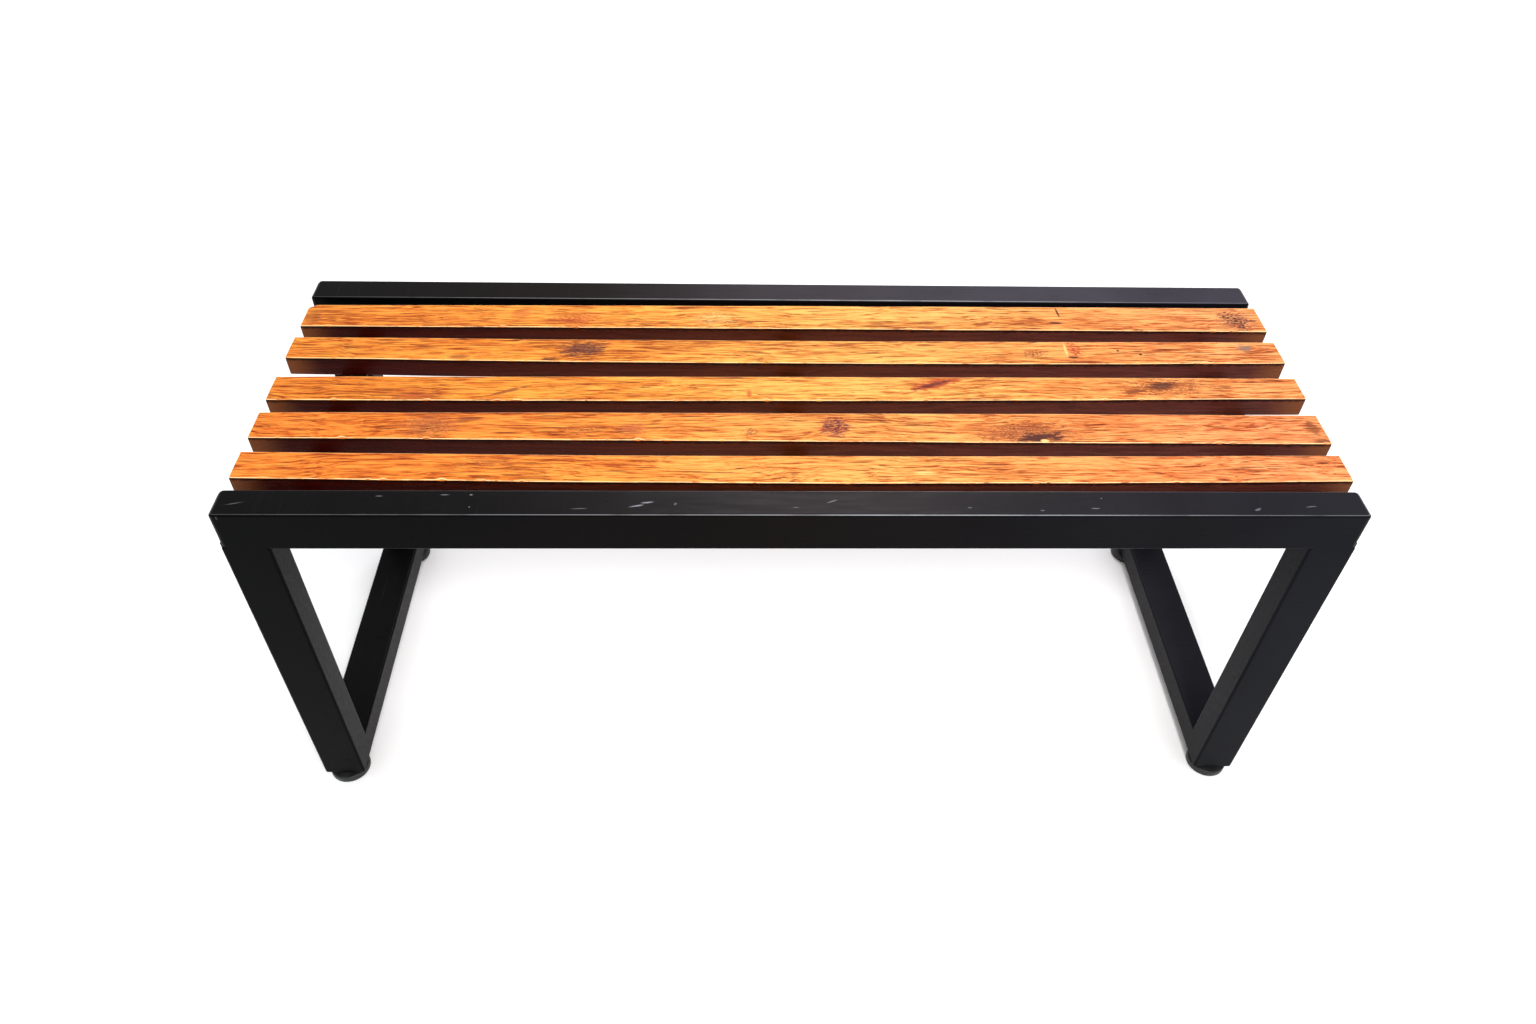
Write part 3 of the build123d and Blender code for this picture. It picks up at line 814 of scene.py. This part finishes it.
def powder_coat_material(name, top_reflection, scuffs=()):
    """Satin black powder coat: orange peel, dust, hairlines, painted shade and painted reflection, a
    painted highlight on the rails' upper arrises, and paint scuffs.

    Each scuff is ((x, y), (half length, half width), tilt in degrees, strength), on the seat's level.
    """
    material, tree, shader = new_material(name)
    place = object_place(tree)
    up = coordinate(tree, surface_normal(tree), "Z")
    broad = noise_value(tree, place, COAT_CLOUDS)
    colour = ramp(tree, broad, [(0.3, COAT_DARK), (0.7, COAT_LIGHT)])
    # Painted shade on faces that do not point up, and a painted reflection on faces that point up
    tint = blended(tree, step_between(tree, up, 0.5, 0.9), tint_along(tree, place, COAT_SHADE_TINTS),
                   tint_along(tree, place, top_reflection))
    colour = blended(tree, 1.0, colour, tint, "MULTIPLY")
    dust = noise_value(tree, place, DUST_GRAINS, detail=4.0, roughness=0.7)
    colour = blended(tree, step_between(tree, dust, 0.62, 0.80, 0.0, 0.22), colour, COAT_DUST)
    hairs = noise_value(tree, place, HAIRLINES, detail=2.0)
    colour = blended(tree, step_between(tree, hairs, 0.62, 0.76, 0.0, 0.22), colour, COAT_DUST)

    # Painted highlight along the rails' upper arrises, in patches
    seat_level = step_between(tree, coordinate(tree, place, "Z"), SLAT_TOP_Z - 0.008, SLAT_TOP_Z - 0.005)
    arris = math_node(tree, "MULTIPLY", step_between(tree, up, 0.74, 0.82),
                      step_between(tree, up, 0.90, 0.96, 1.0, 0.0))
    arris = math_node(tree, "MULTIPLY", arris, seat_level)
    highlight_along = tint_along(tree, place, COAT_HIGHLIGHT_ALONG)
    patchy = noise_value(tree, place, COAT_HIGHLIGHT_PATCHES)
    arris = math_node(tree, "MULTIPLY", arris, step_between(tree, patchy, 0.30, 0.55, 0.55, 1.0))
    colour = blended(tree, math_node(tree, "MULTIPLY", arris, highlight_along), colour, COAT_HIGHLIGHT)
    for centre, half_size, tilt, strength in scuffs:
        distance = spot(tree, place, centre, half_size, tilt, SCUFF_RAGGED)
        mask = step_between(tree, distance, 0.3, 1.0, strength, 0.0)
        mask = math_node(tree, "MULTIPLY", seat_level, mask)
        colour = blended(tree, mask, colour, COAT_SCUFF)
    plug(tree, colour, shader.inputs["Base Color"])
    drag = noise_value(tree, place, WIPE_MARKS)
    plug(tree, step_between(tree, drag, 0.3, 0.7, 0.27, 0.36), shader.inputs["Roughness"])
    shader.inputs["Specular IOR Level"].default_value = COAT_SPECULAR
    peel = noise_value(tree, place, ORANGE_PEEL, detail=2.0)
    plug(tree, bumped(tree, peel, 0.00012, 0.35), shader.inputs["Normal"])
    return material


def zinc_material():
    """Dull zinc plating with faint spangle and turning marks."""
    material, tree, shader = new_material("zinc_plated_steel")
    place = object_place(tree)
    cloud = noise_value(tree, place, ZINC_SPANGLE, detail=4.0)
    colour = ramp(tree, cloud, [(0.3, ZINC_DARK), (0.7, ZINC_LIGHT)])
    plug(tree, colour, shader.inputs["Base Color"])
    shader.inputs["Metallic"].default_value = 1.0
    plug(tree, step_between(tree, cloud, 0.3, 0.7, 0.48, 0.34), shader.inputs["Roughness"])
    turning = noise_value(tree, place, ZINC_TURNING, detail=2.0)
    plug(tree, bumped(tree, turning, 0.00005, 0.4), shader.inputs["Normal"])
    return material


def moulded_material(name, dark, light, roughness, grain):
    """Moulded nylon or rubber: fine grain, slight scuffing and dust."""
    material, tree, shader = new_material(name)
    place = object_place(tree)
    cloud = noise_value(tree, place, MOULDED_CLOUDS, detail=4.0)
    plug(tree, ramp(tree, cloud, [(0.35, dark), (0.75, light)]), shader.inputs["Base Color"])
    varied = step_between(tree, cloud, 0.3, 0.7, roughness - 0.06, roughness + 0.06)
    plug(tree, varied, shader.inputs["Roughness"])
    shader.inputs["Specular IOR Level"].default_value = 0.35
    pits = noise_value(tree, place, grain)
    plug(tree, bumped(tree, pits, 0.00015, 0.5), shader.inputs["Normal"])
    return material


def floor_material():
    """Plain pale floor with a trace of unevenness."""
    material, tree, shader = new_material("pale_floor")
    place = object_place(tree)
    cloud = noise_value(tree, place, FLOOR_CLOUDS, detail=2.0)
    colour = ramp(tree, cloud, [(0.3, FLOOR_DARK), (0.7, FLOOR_LIGHT)])
    plug(tree, colour, shader.inputs["Base Color"])
    shader.inputs["Roughness"].default_value = 0.9
    shader.inputs["Specular IOR Level"].default_value = 0.1
    return material


def assign(piece, material):
    """Gives a piece that one material."""
    piece.data.materials.clear()
    piece.data.materials.append(material)


# ---------------------------------------------------------------------------------------------- the bench

SLAT_MARKS = {
    "slat_1": [
        ("swirl", (-0.333, -0.134), (0.037, 0.008), 3, BROWN, 0.75),
        ("dash", (0.137, -0.148), (0.013, 0.0035), 0, PALE, 0.7),
        ("dash", (0.269, -0.124), (0.009, 0.003), 4, RED, 0.7),
    ],
    "slat_2": [
        ("speckle", (-0.403, -0.072), (0.036, 0.020), 4, REDDISH, 0.8),
        ("swirl", (-0.403, -0.072), (0.034, 0.018), 4, BROWN, 0.7),
        ("dash", (-0.361, -0.061), (0.015, 0.0045), 6, BROWN, 0.7),
        ("swirl", (-0.236, -0.079), (0.022, 0.009), 6, BROWN, 0.85),
        ("speckle", (-0.180, -0.077), (0.019, 0.010), 10, REDDISH, 0.9),
        ("speckle", (-0.048, -0.082), (0.010, 0.0085), 0, BROWN, 0.8),
        ("stain", (0.045, -0.073), (0.020, 0.019), 0, RED, 0.55),
        ("speckle", (0.045, -0.073), (0.0175, 0.018), 0, PURPLE, 1.0),
        ("stain", (0.262, -0.085), (0.053, 0.019), 4, REDDISH, 0.55),
        ("swirl", (0.262, -0.085), (0.062, 0.028), 4, BROWN, 1.0),
        ("stain", (0.272, -0.090), (0.027, 0.0095), 6, KNOT, 0.95),
        ("dash", (0.277, -0.095), (0.0055, 0.003), 0, PALE, 0.9),
        ("stain", (0.587, -0.072), (0.010, 0.014), 0, BROWN, 0.8),
        ("stain", (0.589, -0.094), (0.0135, 0.005), 0, BROWN, 0.8),
    ],
    "slat_3": [
        ("stain", (-0.431, -0.023), (0.027, 0.0125), 8, RED, 0.55),
        ("swirl", (-0.431, -0.023), (0.030, 0.014), 8, BROWN, 0.6),
        ("stain", (-0.325, -0.011), (0.030, 0.003), 24, BROWN, 0.8),
        ("dash", (-0.050, -0.014), (0.0035, 0.0075), 0, RED, 0.65),
        ("stain", (0.165, 0.004), (0.036, 0.0085), 21, RED, 0.90),
        ("stain", (0.165, 0.004), (0.026, 0.004), 21, KNOT, 0.8),
        ("swirl", (0.442, 0.002), (0.055, 0.019), 3, BROWN, 0.95),
        ("stain", (0.436, 0.004), (0.019, 0.0075), 12, KNOT, 0.85),
        ("stain", (0.402, -0.007), (0.024, 0.0035), 14, BROWN, 0.9),
    ],
    "slat_4": [
        ("swirl", (-0.247, 0.070), (0.034, 0.019), 0, BROWN, 0.8),
        ("stain", (-0.247, 0.070), (0.026, 0.014), 5, PURPLE, 0.62),
        ("speckle", (-0.247, 0.070), (0.033, 0.018), 5, KNOT, 0.70),
        ("stain", (-0.285, 0.049), (0.0105, 0.0045), 8, KNOT, 0.8),
        ("dash", (-0.393, 0.053), (0.014, 0.0045), 4, BROWN, 0.7),
        ("dash", (0.336, 0.074), (0.002, 0.015), 0, PALE, 0.75),
        ("speckle", (0.347, 0.073), (0.010, 0.018), 0, RED, 1.0),
        ("stain", (0.343, 0.058), (0.006, 0.0025), 0, KNOT, 0.9),
        ("speckle", (0.297, 0.065), (0.017, 0.010), 6, BROWN, 0.85),
        ("dash", (0.426, 0.065), (0.0025, 0.0025), 0, STROKE_WOOD, 1.0),
        ("dash", (0.400, 0.072), (0.002, 0.002), 0, STROKE_WOOD, 1.0),
        ("stain", (0.559, 0.079), (0.010, 0.008), 0, GREY, 0.8),
    ],
    "slat_5": [
        ("stain", (-0.584, 0.129), (0.011, 0.018), 0, BROWN, 0.45),
        ("stain", (-0.330, 0.143), (0.014, 0.011), 0, RED, 0.45),
        ("speckle", (-0.263, 0.131), (0.034, 0.013), 4, RED, 0.8),
        ("swirl", (-0.090, 0.135), (0.027, 0.014), 0, PALE, 0.7),
        ("dash", (0.342, 0.152), (0.0015, 0.012), 4, KNOT, 0.95),
        ("dash", (0.335, 0.129), (0.009, 0.0025), -8, KNOT, 0.95),
        ("speckle", (0.567, 0.137), (0.024, 0.021), -38, PURPLE, 1.0),
        ("speckle", (0.562, 0.140), (0.020, 0.009), -50, KNOT, 0.95),
    ],
}
RAIL_SCUFFS = [
    ((-0.576, -0.196), (0.011, 0.001), 14, 0.35),
    ((-0.433, -0.185), (0.005, 0.001), 0, 0.45),
    ((-0.366, -0.183), (0.006, 0.001), 0, 0.50),
    ((-0.339, -0.183), (0.002, 0.0015), 0, 0.60),
    ((-0.338, -0.201), (0.001, 0.001), 0, 0.95),
    ((-0.226, -0.203), (0.010, 0.001), 3, 0.40),
    ((-0.168, -0.199), (0.0085, 0.0015), 12, 0.90),
    ((-0.157, -0.194), (0.0075, 0.0015), 8, 0.95),
    ((-0.128, -0.196), (0.0025, 0.0015), 60, 0.50),
    ((-0.004, -0.201), (0.005, 0.001), 0, 0.50),
    ((0.034, -0.192), (0.0075, 0.001), 22, 0.60),
    ((0.177, -0.201), (0.003, 0.001), 0, 0.50),
    ((0.252, -0.205), (0.003, 0.001), 0, 0.55),
    ((0.308, -0.202), (0.006, 0.001), 0, 0.55),
    ((0.318, -0.187), (0.001, 0.001), 0, 0.70),
    ((0.480, -0.203), (0.0055, 0.002), 30, 0.45),
    ((0.537, -0.199), (0.0085, 0.001), 6, 0.50),
    # Painted glint at the left end of the front arris, drawn as a scuff
    ((-0.590, -0.214), (0.002, 0.001), 0, 0.9),
]


def stand_for(piece, node):
    """Puts a piece of the frame's body in the place of a CAD node, which it hides."""
    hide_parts(node)
    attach(piece, "frame")


def add_slats():
    """The five boards, each with its own grain, tint and marks."""
    for number, name in enumerate(SLATS, start=1):
        board = slat(name, number)
        assign(board, wood_material(name + "_wood", number, SLAT_TINTS[name], SLAT_MARKS[name]))
        stand_for(board, name)


def add_beads(coat):
    """The rippled beads that show. Beads that were ground flush stay CAD solids."""
    bead_sets = {
        "leg_rail_welds": leg_rail_beads(),
        "beam_leg_welds": beam_leg_beads(),
        "bearer_welds": bearer_beads(),
    }
    for node, beads in bead_sets.items():
        bead_piece = joined_piece(node + "_beads", [loft(rings) for rings in beads])
        assign(bead_piece, coat)
        stand_for(bead_piece, node)


def add_screws(zinc):
    """The screws that hold the slats."""
    screws = slat_screws()
    assign(screws, zinc)
    stand_for(screws, "slat_screws")


def finish_cad_nodes(coat, zinc):
    """A material for each CAD node: the front rail is scuffed, and the rear rail's top has a stronger
    painted reflection.
    """
    scuffed_coat = powder_coat_material("scuffed_powder_coat", TOP_REFLECTION_TINTS, RAIL_SCUFFS)
    rear_rail_coat = powder_coat_material("rear_rail_powder_coat", REAR_TOP_REFLECTION_TINTS)
    nylon = moulded_material("pad_nylon", NYLON_DARK, NYLON_LIGHT, NYLON_ROUGHNESS, NYLON_GRAIN)
    rubber = moulded_material("sole_rubber", RUBBER_DARK, RUBBER_LIGHT, RUBBER_ROUGHNESS, RUBBER_GRAIN)
    for name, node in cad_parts.items():
        is_rail = name.endswith(("rail", "end_cap"))
        if is_rail and name.startswith("front"):
            assign(node, scuffed_coat)
        elif is_rail:
            assign(node, rear_rail_coat)
        elif name.endswith("foot_pad"):
            assign(node, nylon)
        elif name.endswith("foot_sole"):
            assign(node, rubber)
        elif name.endswith(("foot_stud", "weld_nut")):
            assign(node, zinc)
        else:
            assign(node, coat)


# ---------------------------------------------------------------------------------------------- stage

def pale_floor():
    """A wide floor under the bench."""
    corners = [(-FLOOR_HALF, -FLOOR_HALF, 0), (FLOOR_HALF, -FLOOR_HALF, 0),
               (FLOOR_HALF, FLOOR_HALF, 0), (-FLOOR_HALF, FLOOR_HALF, 0)]
    floor = new_piece("floor", corners, [(0, 1, 2, 3)])
    assign(floor, floor_material())


def area_light(name, place, target, size, energy, colour):
    """A soft rectangular light that looks at a target."""
    light = bpy.data.lights.new(name, "AREA")
    light.shape = "RECTANGLE"
    light.size, light.size_y = size
    light.energy = energy
    light.color = colour
    lamp = bpy.data.objects.new(name, light)
    bpy.context.scene.collection.objects.link(lamp)
    lamp.location = place
    lamp.rotation_euler = (Vector(target) - Vector(place)).to_track_quat("-Z", "Y").to_euler()


def studio():
    """Plain soft light: a wide sun and a lamp in front, a softbox behind and a white surround."""
    sun = bpy.data.lights.new("wide_sun", "SUN")
    sun.energy = SUN_STRENGTH
    sun.angle = SUN_SPREAD
    sun_lamp = bpy.data.objects.new("wide_sun", sun)
    bpy.context.scene.collection.objects.link(sun_lamp)
    sun_lamp.rotation_euler = Vector(SUN_DIRECTION).to_track_quat("-Z", "Y").to_euler()
    area_light("front_lamp", LAMP_PLACE, SEAT_MIDDLE, LAMP_SIZE, LAMP_POWER, LAMP_COLOUR)
    area_light("rear_softbox", SOFTBOX_PLACE, SOFTBOX_TARGET, SOFTBOX_SIZE, SOFTBOX_POWER, SOFTBOX_COLOUR)
    world = bpy.data.worlds.new("studio")
    bpy.context.scene.world = world
    world.use_nodes = True
    background = world.node_tree.nodes["Background"]
    background.inputs["Color"].default_value = SURROUND_COLOUR
    background.inputs["Strength"].default_value = SURROUND_STRENGTH


def camera():
    """The camera at the front of the bench, above it, with a slight roll."""
    forward = Vector((math.sin(CAMERA_YAW) * math.cos(CAMERA_PITCH),
                      math.cos(CAMERA_YAW) * math.cos(CAMERA_PITCH), -math.sin(CAMERA_PITCH)))
    level_right = Vector((math.cos(CAMERA_YAW), -math.sin(CAMERA_YAW), 0.0))
    level_up = level_right.cross(forward)
    right = level_right * math.cos(CAMERA_ROLL) + level_up * math.sin(CAMERA_ROLL)
    up = level_up * math.cos(CAMERA_ROLL) - level_right * math.sin(CAMERA_ROLL)
    data = bpy.data.cameras.new("camera")
    data.sensor_fit = "HORIZONTAL"
    data.sensor_width = CAMERA_SENSOR
    data.lens = CAMERA_LENS
    eye = bpy.data.objects.new("camera", data)
    bpy.context.scene.collection.objects.link(eye)
    turn = Matrix((right, up, -forward)).transposed().to_4x4()
    eye.matrix_world = Matrix.Translation(CAMERA_PLACE) @ turn
    bpy.context.scene.camera = eye


powder_coat = powder_coat_material("powder_coat", TOP_REFLECTION_TINTS)
zinc_plate = zinc_material()
add_slats()
add_beads(powder_coat)
add_screws(zinc_plate)
finish_cad_nodes(powder_coat, zinc_plate)
pale_floor()
studio()
camera()
bpy.context.scene.view_settings.view_transform = "Standard"
